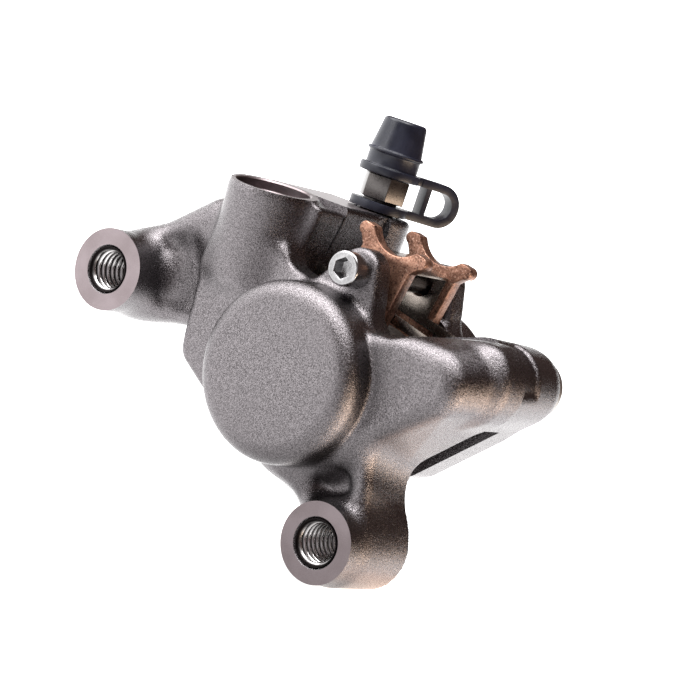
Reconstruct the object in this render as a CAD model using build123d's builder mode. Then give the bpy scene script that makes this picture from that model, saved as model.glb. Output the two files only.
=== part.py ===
from build123d import *
import os
from math import cos, radians, sin

# Two piece disc brake caliper for a bicycle, with two opposed pistons and two tapped lugs.
# Millimetres. X runs along the line of the two lug holes, Y runs from the lug faces back
# through the rotor, and Z points away from the wheel's axle.
# The origin lies midway between the two lug holes, in the plane of the lug faces.

# Mounting lugs
lug_spacing = 51.0
lug_one_r = 5.75
lug_two_r = 5.35
lug_two_root_r = 6.05
lug_two_length = 13.9
lug_two_edge = 0.9
lug_thread_r = 2.5
insert_outer_r = 3.2
insert_length = 11.0

# Depths behind the lug faces
cap_front = -4.0
wall_front = 3.3
arm_front = 7.2
deck_front = 6.4
split_depth = 12.8
slot_width = 5.0
rotor_depth = split_depth + slot_width / 2

# Rotor and its groove
rotor_r = 80.0
rotor_thickness = 1.8
rotor_clearance = 1.0
pad_to_rotor = 0.3
pad_to_axle = 72.5

# Pistons
piston_x = 6.3
piston_z = 11.7
piston_r = 10.45
piston_clearance = 0.05
piston_length = 8.8
piston_skirt = 5.2
piston_standout = 0.6
spigot_r = 8.2
cup_r = 7.0
cup_depth = 6.0
cup_edge = 0.5
bore_wall = 1.6
cap_edge = 1.9
cap_floor = 2.5
seal_width = 2.0
seal_height = 1.3
seal_setback = 1.3
groove_clearance = 0.05

# Pads
pad_lean = 14.5
pad_half_width = 10.6
pad_clearance = 0.5
plate_thickness = 2.0
lining_thickness = 3.8
lining_half_width = 7.8
lining_margin = 2.2
plate_gap = 0.05
tab_half_width = 4.2
horn_reach = 21.0
horn_offset = 5.0
horn_r = 0.9
valley_reach = 19.0
valley_r = 4.6
wall_reach = 11.2
window_corner = 2.4
slope_start = 7.9
slope_lean = 29.2

# Pad pin
pin_reach = 15.7
pin_r = 1.5
pin_clearance = 0.05
pin_slack = 0.35
pin_head_r = 2.35
pin_head_length = 3.4
pin_head_edge = 0.35
pin_tail = 1.2
pin_hex = 2.5
pin_hex_depth = 1.9
tab_r = 3.15
tab_back = 7.2
tab_root_r = 5.8
tab_root_reach = 9.0

# Pad spring
spring_thickness = 0.35
spring_gap = 0.15
spring_leg_width = 1.3
spring_leg_offset = 9.2
spring_leg_reach = 4.0
spring_crown_reach = 17.9
spring_crown_half = 3.4
spring_crown_drop = 4.2
crown_bend_share = 0.9

# Deck with the hose port and the bleed nipple
deck_lean = 25.5
deck_reach = 28.9
deck_step = 0.9
port_across = -4.8
port_depth = 6.0
port_tip = 5.5
port_reach = 29.4
port_boss_r = 6.1
port_boss_length = 15.0
port_boss_edge = 3.0
port_bore_r = 4.0
port_bore_length = 9.0
spot_r = 5.2
spot_depth = 1.3
nipple_across = -0.2
nipple_depth = 25.3
nipple_boss_r = 4.9
nipple_boss_length = 15.0
deck_edge_across = -10.9
deck_far_across = 3.8
deck_height = 17.0

# Fluid passages
passage_r = 1.2
feed_r = 0.75
feed_depth = 2.4
crossover_across = -2.9
crossover_reach = 20.9
ring_wire_r = 0.7
ring_recess = 1.2
ring_r = 2.3
ring_squeeze_share = 0.7

# Bolts that hold the halves together
bolt_r = 2.5
bolt_clearance = 0.15
bolt_head_r = 4.25
bolt_head_length = 4.6
bolt_head_edge = 0.4
bolt_hex = 4.0
bolt_hex_depth = 2.6
nose_engagement = 7.0
bridge_engagement = 4.6
bolt_tip_gap = 0.4
head_clearance = 0.15
head_proud = 2.3
nose_x = 22.2
nose_z = 27.1
nose_r = 5.75
nose_end_r = 5.1
nose_end = 25.0
bridge_across = -12.2
bridge_reach = 21.3
bridge_r = 4.4
bridge_end = 25.0
nose_edge = 0.8

# Forged body outlines
body_r = 13.2
foot_across = -6.6
foot_reach = 5.6
foot_r = 3.2
shoulder_across = -4.6
shoulder_reach = 17.0
shoulder_r = 6.2
heel_x = 18.4
heel_z = 10.6
heel_r = 3.6
bar_front = 1.2
bar_x = 21.0
bar_z = 24.6
bar_r = 4.6
bar_root_r = 10.5
bar_heel_x = 14.5
bar_heel_z = 7.5
bar_heel_r = 3.0
bar_edge = 1.8
bar_rear = 24.8
root_x = -12.5
root_z = 8.5
root_r = 6.0
arm_edge = 1.6
wall_edge = 1.2
pocket_inset = 2.4
arm_pocket_depth = 1.6
arm_pocket_r = 1.5
arm_pocket_low_x = -19.4
arm_pocket_low_z = 1.3
arm_pocket_high_x = -20.8
arm_pocket_high_z = 8.8
arm_pocket_side_x = -24.9
arm_pocket_side_z = 4.6
arm_pocket_end_x = -15.0
arm_pocket_end_z = 5.4
web_front = 3.0
web_pocket_depth = 2.6
web_x = 12.4
web_z = 6.6
web_r = 6.0
web_root_x = 10.0
web_root_z = 1.8
web_root_r = 6.5
web_inset = 0.5
web_scoop_x = 15.6
web_scoop_z = -8.6
web_scoop_root_x = 13.6
web_scoop_root_z = -14.0
web_scoop_r = 9.4
heel_scoop_x = 30.4
heel_scoop_z = 12.4
heel_scoop_r = 5.9

# Bleed nipple
nipple_thread_r = 3.0
nipple_thread_length = 7.5
nipple_thread_clearance = 0.05
nipple_seat_r = 1.6
nipple_seat_length = 1.6
nipple_hex = 6.0
nipple_hex_height = 3.4
nipple_turn = 12.0
nipple_neck_r = 2.45
nipple_neck_height = 1.8
nipple_stem_r = 1.8
nipple_stem_height = 6.6
nipple_barb_r = 2.2
nipple_barb_height = 1.8
nipple_bore_r = 0.75

# Rubber cap and its strap
strap_thickness = 1.2
strap_width = 2.4
strap_ring_r = 4.2
strap_fit = 0.05
strap_lift = 0.25
strap_tab = 0.6
strap_turn = 60.0
loop_reach = 8.8
loop_bar = 0.8
loop_bar_reach = 6.4
cap_flange_r = 4.4
cap_flange_lift = 0.1
cap_flange_height = 1.2
cap_neck_r = 3.75
cap_neck_height = 1.9
cap_bead_r = 4.1
cap_bead_height = 0.45
cap_foot_r = 3.75
cap_top_r = 3.05
cap_cone_height = 4.6
cap_top_edge = 0.6
cap_bore_clearance = 0.05

# One overrun carries every cut past the surface it opens
overrun = 30.0

lug_one_x = -lug_spacing / 2
lug_two_x = lug_spacing / 2
bore_r = piston_r + piston_clearance
cap_r = bore_r + bore_wall
groove_r = bore_r + seal_height + groove_clearance
lining_face = rotor_depth - rotor_thickness / 2 - pad_to_rotor
pad_seat = lining_face - lining_thickness - plate_thickness - plate_gap
pocket_floor = pad_seat - piston_standout
bore_floor = cap_front + cap_floor
seal_near = pocket_floor - seal_setback - seal_width
rear_deck_reach = deck_reach + deck_step
head_seat = nose_end - bolt_head_length + head_proud
window_half = pad_half_width + pad_clearance
rear_end = 2 * rotor_depth - cap_front


def mirror_depth(depth):
    """Depth of the same feature on the far side of the rotor."""
    return 2 * rotor_depth - depth


def from_pads(sideways, outward):
    """X and Z of a point given across and along the way that the pads are lifted out."""
    lean = radians(pad_lean)
    x = piston_x + sideways * cos(lean) - outward * sin(lean)
    z = piston_z + sideways * sin(lean) + outward * cos(lean)
    return (x, z)


def from_deck(across, reach):
    """X and Z of a point given across and along the axis of the hose port."""
    lean = radians(deck_lean)
    return (across * cos(lean) - reach * sin(lean), across * sin(lean) + reach * cos(lean))


def facing(depth):
    """Plane parallel to the lug faces, at a depth behind them."""
    return Plane.XZ.offset(-depth)


def pad_plane(depth):
    """Plane parallel to the lug faces, centred on the pistons and leaning with the pads."""
    x, z = from_pads(0, 0)
    side = (cos(radians(pad_lean)), 0, sin(radians(pad_lean)))
    return Plane(origin=(x, depth, z), x_dir=side, z_dir=(0, -1, 0))


def deck_plane(across, depth, reach):
    """Plane square to the hose port's axis, with its local Y along the depth."""
    x, z = from_deck(across, reach)
    lean = radians(deck_lean)
    return Plane(origin=(x, depth, z), x_dir=(cos(lean), 0, sin(lean)), z_dir=(-sin(lean), 0, cos(lean)))


def port_plane(down):
    """Plane square to the hose port's own axis, at a distance down the port from its rim."""
    flat = deck_plane(port_across, port_depth, port_reach)
    up = flat.z_dir * cos(radians(port_tip)) - flat.y_dir * sin(radians(port_tip))
    return Plane(origin=flat.origin - up * down, x_dir=flat.x_dir, z_dir=up)


def hull_face(depth, discs):
    """Outline stretched round discs, each given as x, z and radius."""
    with BuildSketch(facing(depth)) as outline:
        for x, z, r in discs:
            with Locations((x, z)):
                Circle(r)
        make_hull()
    return outline.sketch


def forged_slab(near, far, discs, edge_r, rounded_side=0):
    """Slab with a hull outline between two depths, rounded along the edge of one face."""
    with BuildPart() as slab:
        extrude(hull_face(near, discs), amount=near - far)
        fillet(slab.faces().sort_by(Axis.Y)[rounded_side].edges(), edge_r)
    return slab.part


def drilling(start, end, radius):
    """Straight round hole between two points, as a solid to subtract."""
    run = Vector(*end) - Vector(*start)
    with BuildPart() as hole:
        with BuildSketch(Plane(origin=start, z_dir=run)):
            Circle(radius)
        extrude(amount=run.length)
    return hole.part


def window_face(depth):
    """Outline of the opening over the pads, and of the slope from its floor to the nose."""
    with BuildSketch(pad_plane(depth)) as outline:
        with Locations((0, wall_reach + overrun / 2)):
            RectangleRounded(2 * window_half, overrun, window_corner)
        with Locations(Location((slope_start, wall_reach), slope_lean)):
            Rectangle(overrun, overrun, align=(Align.MIN, Align.MIN))
    return outline.sketch


def pad_pocket_face(depth):
    """Outline of the pocket that the pads slide in, round below and open above."""
    with BuildSketch(pad_plane(depth)) as outline:
        Circle(window_half)
        with Locations((0, overrun / 2)):
            Rectangle(2 * window_half, overrun)
    return outline.sketch


piston_centre = (piston_x, piston_z)
nose = (nose_x, nose_z)
bridge = from_deck(bridge_across, bridge_reach)
foot = from_deck(foot_across, foot_reach)
shoulder = from_deck(shoulder_across, shoulder_reach)
rotor_centre = from_pads(0, -pad_to_axle)
crossover = from_deck(crossover_across, crossover_reach)
crossover_start = (crossover[0], port_depth, crossover[1])
crossover_face = (crossover[0], split_depth, crossover[1])
crossover_end = (crossover[0], nipple_depth, crossover[1])
pin_place = from_pads(0, pin_reach)

wall_discs = [(*piston_centre, body_r), (*foot, foot_r), (*shoulder, shoulder_r)]
nose_discs = [(*piston_centre, body_r), (*nose, nose_r), (heel_x, heel_z, heel_r)]
bar_discs = [(*piston_centre, bar_root_r), (bar_x, bar_z, bar_r), (bar_heel_x, bar_heel_z, bar_heel_r)]
rear_bar_discs = [(*piston_centre, body_r), (*nose, nose_end_r), (heel_x, heel_z, heel_r)]
arm_discs = [(lug_one_x, 0, lug_one_r), (*bridge, bridge_r), (root_x, root_z, root_r)]
heel_inner = (heel_x, heel_z, heel_r - web_inset)
web_discs = [(lug_two_x, 0, lug_two_r - web_inset), (web_x, web_z, web_r), heel_inner]
web_root_discs = [(lug_two_x, 0, lug_two_r), (web_root_x, web_root_z, web_root_r), heel_inner]
scoop_discs = [(web_scoop_x, web_scoop_z, web_scoop_r)]
scoop_root_discs = [(web_scoop_root_x, web_scoop_root_z, web_scoop_r)]
heel_scoop_discs = [(heel_scoop_x, heel_scoop_z, heel_scoop_r)]
arm_pocket_corners = [
    (arm_pocket_side_x, arm_pocket_side_z),
    (arm_pocket_high_x, arm_pocket_high_z),
    (arm_pocket_end_x, arm_pocket_end_z),
    (arm_pocket_low_x, arm_pocket_low_z),
]

# Front half of the body, with the lugs, the hose port and the first piston's housing
front_wall = forged_slab(wall_front, split_depth, wall_discs, wall_edge)
front_arm = forged_slab(arm_front, split_depth, arm_discs, arm_edge)
with BuildPart() as front_web:
    loft([hull_face(web_front, web_discs), hull_face(split_depth, web_root_discs)])
    fillet(front_web.faces().sort_by(Axis.Y)[0].edges(), arm_edge)
    loft([hull_face(web_front, scoop_discs), hull_face(split_depth, scoop_root_discs)], mode=Mode.SUBTRACT)
    extrude(hull_face(web_front, heel_scoop_discs), amount=web_front - split_depth, mode=Mode.SUBTRACT)
    # Shallow pocket in the front of the lower arm
    web_pocket = [(x, z, r - pocket_inset) for x, z, r in web_discs[1:]]
    web_pocket += [(lug_two_x - lug_two_r, lug_two_r, pocket_inset)]
    extrude(hull_face(web_front, web_pocket), amount=-web_pocket_depth, mode=Mode.SUBTRACT)
with BuildPart() as front_bar:
    loft([hull_face(bar_front, bar_discs), hull_face(split_depth, nose_discs)])
    fillet(front_bar.faces().sort_by(Axis.Y)[0].edges(), bar_edge)

with BuildPart() as front_cap:
    with BuildSketch(pad_plane(cap_front)):
        Circle(cap_r)
    extrude(amount=cap_front - split_depth)
    fillet(front_cap.faces().sort_by(Axis.Y)[0].edges(), cap_edge)

with BuildPart() as port_boss:
    with BuildSketch(port_plane(0)):
        Circle(port_boss_r)
    extrude(amount=-port_boss_length)
    fillet(port_boss.edges().sort_by(Axis.Z)[0], port_boss_edge)
    split(bisect_by=facing(split_depth), keep=Keep.TOP)

with BuildPart() as lug_two:
    with BuildSketch(facing(0)):
        with Locations((lug_two_x, 0)):
            Circle(lug_two_r)
    with BuildSketch(facing(lug_two_length)):
        with Locations((lug_two_x, 0)):
            Circle(lug_two_root_r)
    loft()
    fillet(lug_two.edges().sort_by(Axis.Y)[-1], lug_two_edge)

tab_discs = [(*pin_place, tab_r), (*from_pads(0, tab_root_reach), tab_root_r)]
front_tab = forged_slab(wall_front, tab_back, tab_discs, wall_edge)

with BuildPart() as front_half:
    add(front_wall)
    add(front_bar.part)
    # Deck block beside the window, behind the port boss
    with BuildSketch(deck_plane(0, 0, deck_reach)):
        with Locations(((deck_edge_across + deck_far_across) / 2, (deck_front + split_depth) / 2)):
            Rectangle(deck_far_across - deck_edge_across, split_depth - deck_front)
    extrude(amount=-deck_height)
    add(front_arm)
    # Shallow pocket in the front of the upper arm
    arm_pocket = [(x, z, arm_pocket_r) for x, z in arm_pocket_corners]
    extrude(hull_face(arm_front, arm_pocket), amount=-arm_pocket_depth, mode=Mode.SUBTRACT)
    add(front_web.part)
    with BuildSketch(facing(0)):
        with Locations((lug_one_x, 0)):
            Circle(lug_one_r)
    extrude(amount=-split_depth)
    add(lug_two.part)
    add(port_boss.part)
    extrude(window_face(cap_front), amount=cap_front - split_depth, mode=Mode.SUBTRACT)
    add(front_cap.part)
    add(front_tab)
    extrude(pad_pocket_face(pocket_floor), amount=pocket_floor - split_depth, mode=Mode.SUBTRACT)
    # Piston bore and its seal groove
    with BuildSketch(pad_plane(bore_floor)):
        Circle(bore_r)
    extrude(amount=bore_floor - pocket_floor, mode=Mode.SUBTRACT)
    with BuildSketch(pad_plane(seal_near - groove_clearance)):
        Circle(groove_r)
    extrude(amount=-seal_width - 2 * groove_clearance, mode=Mode.SUBTRACT)
    # Hose port with its spot face, and the drilling that feeds the piston
    with BuildSketch(port_plane(0)):
        Circle(spot_r)
    extrude(amount=-spot_depth, mode=Mode.SUBTRACT)
    with BuildSketch(port_plane(0)):
        Circle(port_bore_r)
    extrude(amount=-port_bore_length, mode=Mode.SUBTRACT)
    port_foot = port_plane(port_bore_length - feed_r).origin
    feed_x, feed_z = from_pads(-spigot_r - feed_r, 0)
    add(drilling(tuple(port_foot), (feed_x, feed_depth, feed_z), feed_r), mode=Mode.SUBTRACT)
    add(drilling(crossover_start, crossover_face, passage_r), mode=Mode.SUBTRACT)
    # Holes for the two threaded inserts, right through the lugs
    with BuildSketch(facing(0)):
        with Locations((lug_one_x, 0), (lug_two_x, 0)):
            Circle(insert_outer_r)
    extrude(amount=-lug_two_length, mode=Mode.SUBTRACT)
    # Tapped holes for the two body bolts, and the plain hole for the pad pin
    for place, engagement in ((nose, nose_engagement), (bridge, bridge_engagement)):
        with BuildSketch(facing(split_depth)):
            with Locations(place):
                Circle(bolt_r)
        extrude(amount=engagement + bolt_tip_gap, mode=Mode.SUBTRACT)
    with BuildSketch(facing(wall_front)):
        with Locations(pin_place):
            Circle(pin_r + pin_clearance)
    extrude(amount=wall_front - pocket_floor, mode=Mode.SUBTRACT)

# Rear half of the body, with the rotor groove, the bleed port and the second piston's housing
rear_wall = forged_slab(split_depth, mirror_depth(wall_front), wall_discs, wall_edge, -1)
rear_tab = forged_slab(mirror_depth(tab_back), mirror_depth(wall_front), tab_discs, wall_edge, -1)
with BuildPart() as rear_bar:
    loft([hull_face(split_depth, nose_discs), hull_face(bar_rear, rear_bar_discs)])
    fillet(rear_bar.faces().sort_by(Axis.Y)[-1].edges(), bar_edge)

with BuildPart() as rear_cap:
    with BuildSketch(pad_plane(rear_end)):
        Circle(cap_r)
    extrude(amount=rear_end - split_depth)
    fillet(rear_cap.faces().sort_by(Axis.Y)[-1].edges(), cap_edge)

with BuildPart() as nose_boss:
    with BuildSketch(facing(split_depth)):
        with Locations(nose):
            Circle(nose_r)
    with BuildSketch(facing(nose_end)):
        with Locations(nose):
            Circle(nose_end_r)
    loft()
    fillet(nose_boss.edges().sort_by(Axis.Y)[-1], nose_edge)

with BuildPart() as bridge_boss:
    with BuildSketch(facing(split_depth)):
        with Locations(bridge):
            Circle(bridge_r)
    extrude(amount=split_depth - bridge_end)
    fillet(bridge_boss.edges().sort_by(Axis.Y)[-1], nose_edge)

with BuildPart() as nipple_boss:
    with BuildSketch(deck_plane(nipple_across, nipple_depth, rear_deck_reach)):
        Circle(nipple_boss_r)
    extrude(amount=-nipple_boss_length)
    fillet(nipple_boss.edges().sort_by(Axis.Z)[0], port_boss_edge)

with BuildPart() as rear_half:
    add(rear_wall)
    add(rear_bar.part)
    rear_deck_far = nipple_depth + nipple_boss_r - arm_edge
    with BuildSketch(deck_plane(0, 0, rear_deck_reach)):
        with Locations(((deck_edge_across + deck_far_across) / 2, (rear_deck_far + split_depth) / 2)):
            Rectangle(deck_far_across - deck_edge_across, rear_deck_far - split_depth)
    extrude(amount=-deck_height)
    add(bridge_boss.part)
    extrude(window_face(split_depth), amount=split_depth - rear_end, mode=Mode.SUBTRACT)
    add(nose_boss.part)
    add(nipple_boss.part)
    add(rear_cap.part)
    add(rear_tab)
    # Groove that the rotor turns in
    with BuildSketch(facing(split_depth)):
        with Locations(rotor_centre):
            Circle(rotor_r + rotor_clearance)
    extrude(amount=-slot_width, mode=Mode.SUBTRACT)
    extrude(pad_pocket_face(split_depth), amount=pocket_floor - split_depth - slot_width, mode=Mode.SUBTRACT)
    with BuildSketch(pad_plane(mirror_depth(pocket_floor))):
        Circle(bore_r)
    extrude(amount=bore_floor - pocket_floor, mode=Mode.SUBTRACT)
    with BuildSketch(pad_plane(mirror_depth(seal_near + seal_width + groove_clearance))):
        Circle(groove_r)
    extrude(amount=-seal_width - 2 * groove_clearance, mode=Mode.SUBTRACT)
    # Tapped bleed port, the passage from the other half and the drilling that feeds the piston
    with BuildSketch(deck_plane(nipple_across, nipple_depth, rear_deck_reach)):
        Circle(nipple_thread_r)
    extrude(amount=-nipple_thread_length, mode=Mode.SUBTRACT)
    with BuildSketch(deck_plane(nipple_across, nipple_depth, rear_deck_reach - nipple_thread_length)):
        Circle(passage_r)
    extrude(amount=-nipple_seat_length - passage_r, mode=Mode.SUBTRACT)
    add(drilling(crossover_face, crossover_end, passage_r), mode=Mode.SUBTRACT)
    low_x, low_z = from_deck(nipple_across, crossover_reach)
    add(drilling(crossover_end, (low_x, nipple_depth, low_z), passage_r), mode=Mode.SUBTRACT)
    rear_feed = (feed_x, mirror_depth(feed_depth), feed_z)
    add(drilling((low_x, nipple_depth, low_z), rear_feed, feed_r), mode=Mode.SUBTRACT)
    # Recess for the ring that seals the passage between the halves
    with BuildSketch(facing(split_depth)):
        with Locations(crossover):
            Circle(ring_r)
    extrude(amount=-ring_recess, mode=Mode.SUBTRACT)
    # Bolt holes, counterbored for the heads, and the tapped hole for the pad pin
    with BuildSketch(facing(split_depth)):
        with Locations(nose, bridge):
            Circle(bolt_r + bolt_clearance)
    extrude(amount=split_depth - nose_end, mode=Mode.SUBTRACT)
    with BuildSketch(facing(head_seat)):
        with Locations(nose, bridge):
            Circle(bolt_head_r + head_clearance)
    extrude(amount=head_seat - rear_end, mode=Mode.SUBTRACT)
    with BuildSketch(facing(mirror_depth(pocket_floor))):
        with Locations(pin_place):
            Circle(pin_r + pin_clearance)
    extrude(amount=wall_front - pocket_floor, mode=Mode.SUBTRACT)

# Threaded inserts of the lugs, wound steel in the real part
inserts = {}
for name, place in (("upper_thread_insert", lug_one_x), ("lower_thread_insert", lug_two_x)):
    with BuildPart() as insert:
        with BuildSketch(facing(0)):
            with Locations((place, 0)):
                Circle(insert_outer_r)
                Circle(lug_thread_r, mode=Mode.SUBTRACT)
        extrude(amount=-insert_length)
    inserts[name] = insert.part

# Pistons, with a narrow spigot behind and a cup towards the pad
def make_piston(seat, away):
    """Piston whose crown touches the pad's plate at a depth, away is 1 towards the lug faces."""
    with BuildPart() as piston:
        with BuildSketch(pad_plane(seat)):
            Circle(piston_r)
        extrude(amount=away * piston_skirt)
        with BuildSketch(pad_plane(seat)):
            Circle(spigot_r)
        extrude(amount=away * piston_length)
        with BuildSketch(pad_plane(seat)):
            Circle(cup_r)
        extrude(amount=away * cup_depth, mode=Mode.SUBTRACT)
        chamfer(piston.edges().filter_by(GeomType.CIRCLE).sort_by(Axis.Y, reverse=away < 0)[0], cup_edge)
    return piston.part


def make_seal(near):
    """Square section seal in its groove, starting at a depth."""
    with BuildPart() as seal:
        with BuildSketch(pad_plane(near)):
            Circle(bore_r + seal_height)
            Circle(bore_r, mode=Mode.SUBTRACT)
        extrude(amount=-seal_width)
    return seal.part


front_piston = make_piston(pad_seat, 1)
rear_piston = make_piston(mirror_depth(pad_seat), -1)
front_piston_seal = make_seal(seal_near)
rear_piston_seal = make_seal(mirror_depth(seal_near) - seal_width)


def pad_outline(depth):
    """Outline of a pad's plate: a round body, a narrow neck and two horns round a valley."""
    with BuildSketch(pad_plane(depth)) as outline:
        Circle(pad_half_width)
        with Locations((0, (pad_half_width + valley_reach) / 2)):
            Rectangle(2 * tab_half_width, valley_reach - pad_half_width + 2 * horn_r)
        with Locations((-horn_offset, horn_reach - horn_r), (horn_offset, horn_reach - horn_r)):
            Circle(horn_r)
        for side in (-1, 1):
            with BuildLine():
                Polyline(
                    (side * horn_offset, horn_reach),
                    (side * (horn_offset + horn_r), horn_reach - horn_r),
                    (side * tab_half_width, valley_reach - horn_r),
                    (0, pin_reach),
                    (0, horn_reach),
                    close=True,
                )
            make_face()
        with Locations((0, valley_reach + valley_r)):
            Circle(valley_r, mode=Mode.SUBTRACT)
        with Locations((0, pin_reach)):
            Circle(pin_r + pin_slack, mode=Mode.SUBTRACT)
    return outline.sketch


def make_plate(near):
    """Steel backing plate of a pad, starting at a depth."""
    with BuildPart() as plate:
        extrude(pad_outline(near), amount=-plate_thickness)
    return plate.part


def make_lining(near):
    """Friction block of a pad, starting at a depth."""
    with BuildPart() as lining:
        with BuildSketch(pad_plane(near)):
            Circle(pad_half_width - lining_margin)
            Rectangle(2 * lining_half_width, 2 * pad_half_width, mode=Mode.INTERSECT)
        extrude(amount=-lining_thickness)
        chamfer(lining.edges().filter_by(Axis.Y).sort_by(Axis.Z)[0], cup_edge)
    return lining.part


plate_near = pad_seat + plate_gap
lining_near = plate_near + plate_thickness
front_pad_plate = make_plate(plate_near)
front_pad_lining = make_lining(lining_near)
rear_pad_plate = make_plate(mirror_depth(plate_near) - plate_thickness)
rear_pad_lining = make_lining(mirror_depth(lining_near) - lining_thickness)

# Leaf spring between the pads: two leaves beside the linings, joined over the pin by a crown
spring_front = lining_near + spring_gap
spring_rear = mirror_depth(spring_front)


def spring_leaf(near):
    """One leaf of the spring, with a leg on each side of a pad's lining."""
    shoulder_reach_in = pin_reach - spring_crown_drop
    leg_outer = spring_leg_offset + spring_leg_width
    with BuildSketch(pad_plane(near)) as leaf:
        with Locations((0, (spring_crown_reach + shoulder_reach_in) / 2)):
            Rectangle(2 * spring_crown_half, spring_crown_reach - shoulder_reach_in)
        with Locations((0, shoulder_reach_in)):
            Rectangle(2 * leg_outer, spring_leg_width)
        for side in (-1, 1):
            leg_middle = side * (leg_outer - spring_leg_width / 2)
            with Locations((leg_middle, (shoulder_reach_in + spring_leg_reach) / 2)):
                Rectangle(spring_leg_width, shoulder_reach_in - spring_leg_reach)
        with Locations((0, pin_reach)):
            Circle(pin_r + pin_slack, mode=Mode.SUBTRACT)
    return leaf.sketch


with BuildPart() as pad_spring:
    extrude(spring_leaf(spring_front), amount=-spring_thickness)
    extrude(spring_leaf(spring_rear), amount=spring_thickness)
    # Crown bent over the pin from one leaf to the other
    with BuildSketch(pad_plane(spring_front)):
        with Locations((0, spring_crown_reach + spring_thickness / 2)):
            Rectangle(2 * spring_crown_half, spring_thickness)
    extrude(amount=spring_front - spring_rear)
    crown = pad_spring.faces().sort_by(Axis(origin=(0, 0, 0), direction=pad_plane(0).y_dir))[-1]
    crown_ends = crown.edges().sort_by(Axis.Y)
    fillet([crown_ends[0], crown_ends[-1]], spring_thickness * crown_bend_share)

# Pad pin with its socket head
with BuildPart() as pad_pin:
    with BuildSketch(facing(wall_front)):
        with Locations(pin_place):
            Circle(pin_head_r)
    extrude(amount=pin_head_length)
    fillet(pad_pin.edges().sort_by(Axis.Y)[0], pin_head_edge)
    with BuildSketch(facing(wall_front)):
        with Locations(pin_place):
            Circle(pin_r)
    extrude(amount=wall_front - mirror_depth(wall_front) - pin_tail)
    with BuildSketch(facing(wall_front - pin_head_length)):
        with Locations(pin_place):
            RegularPolygon(pin_hex / 2, 6, major_radius=False)
    extrude(amount=-pin_hex_depth, mode=Mode.SUBTRACT)
    chamfer(pad_pin.edges().sort_by(Axis.Y)[-1], pin_head_edge)


def make_bolt(place, engagement):
    """Socket head bolt that enters from the rear half and threads into the front half."""
    with BuildPart() as bolt:
        with BuildSketch(facing(head_seat)):
            with Locations(place):
                Circle(bolt_head_r)
        extrude(amount=-bolt_head_length)
        fillet(bolt.edges().sort_by(Axis.Y)[-1], bolt_head_edge)
        with BuildSketch(facing(head_seat)):
            with Locations(place):
                Circle(bolt_r)
        extrude(amount=head_seat - split_depth + engagement)
        with BuildSketch(facing(head_seat + bolt_head_length)):
            with Locations(place):
                RegularPolygon(bolt_hex / 2, 6, major_radius=False)
        extrude(amount=bolt_hex_depth, mode=Mode.SUBTRACT)
    return bolt.part


nose_bolt = make_bolt(nose, nose_engagement)
bridge_bolt = make_bolt(bridge, bridge_engagement)

# Ring that seals the fluid passage between the halves
with BuildPart() as crossover_seal:
    with BuildSketch(facing(split_depth)):
        with Locations(crossover):
            Circle(ring_r)
            Circle(ring_r - 2 * ring_wire_r * ring_squeeze_share, mode=Mode.SUBTRACT)
    extrude(amount=-ring_recess)

# Bleed nipple, hollow, with its cone seat below and a barb for the bleed hose above
hex_foot = rear_deck_reach + nipple_neck_height
stem_foot = hex_foot + nipple_hex_height
stem_top = stem_foot + nipple_stem_height
seat_top = rear_deck_reach + nipple_seat_length - nipple_thread_length
with BuildPart() as bleed_nipple:
    with BuildSketch(deck_plane(nipple_across, nipple_depth, rear_deck_reach)):
        Circle(nipple_thread_r - nipple_thread_clearance)
    extrude(amount=nipple_seat_length - nipple_thread_length)
    with BuildSketch(deck_plane(nipple_across, nipple_depth, seat_top)):
        Circle(nipple_seat_r)
    extrude(amount=-nipple_seat_length)
    with BuildSketch(deck_plane(nipple_across, nipple_depth, rear_deck_reach)):
        Circle(nipple_neck_r)
    extrude(amount=nipple_neck_height)
    with BuildSketch(deck_plane(nipple_across, nipple_depth, hex_foot)):
        RegularPolygon(nipple_hex / 2, 6, rotation=nipple_turn, major_radius=False)
    extrude(amount=nipple_hex_height)
    with BuildSketch(deck_plane(nipple_across, nipple_depth, stem_foot)):
        Circle(nipple_stem_r)
    extrude(amount=nipple_stem_height)
    with BuildSketch(deck_plane(nipple_across, nipple_depth, stem_top - nipple_barb_height)):
        Circle(nipple_barb_r)
    with BuildSketch(deck_plane(nipple_across, nipple_depth, stem_top)):
        Circle(nipple_stem_r)
    loft()
    with BuildSketch(deck_plane(nipple_across, nipple_depth, stem_top)):
        Circle(nipple_bore_r)
    extrude(amount=hex_foot - stem_top, mode=Mode.SUBTRACT)

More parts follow.
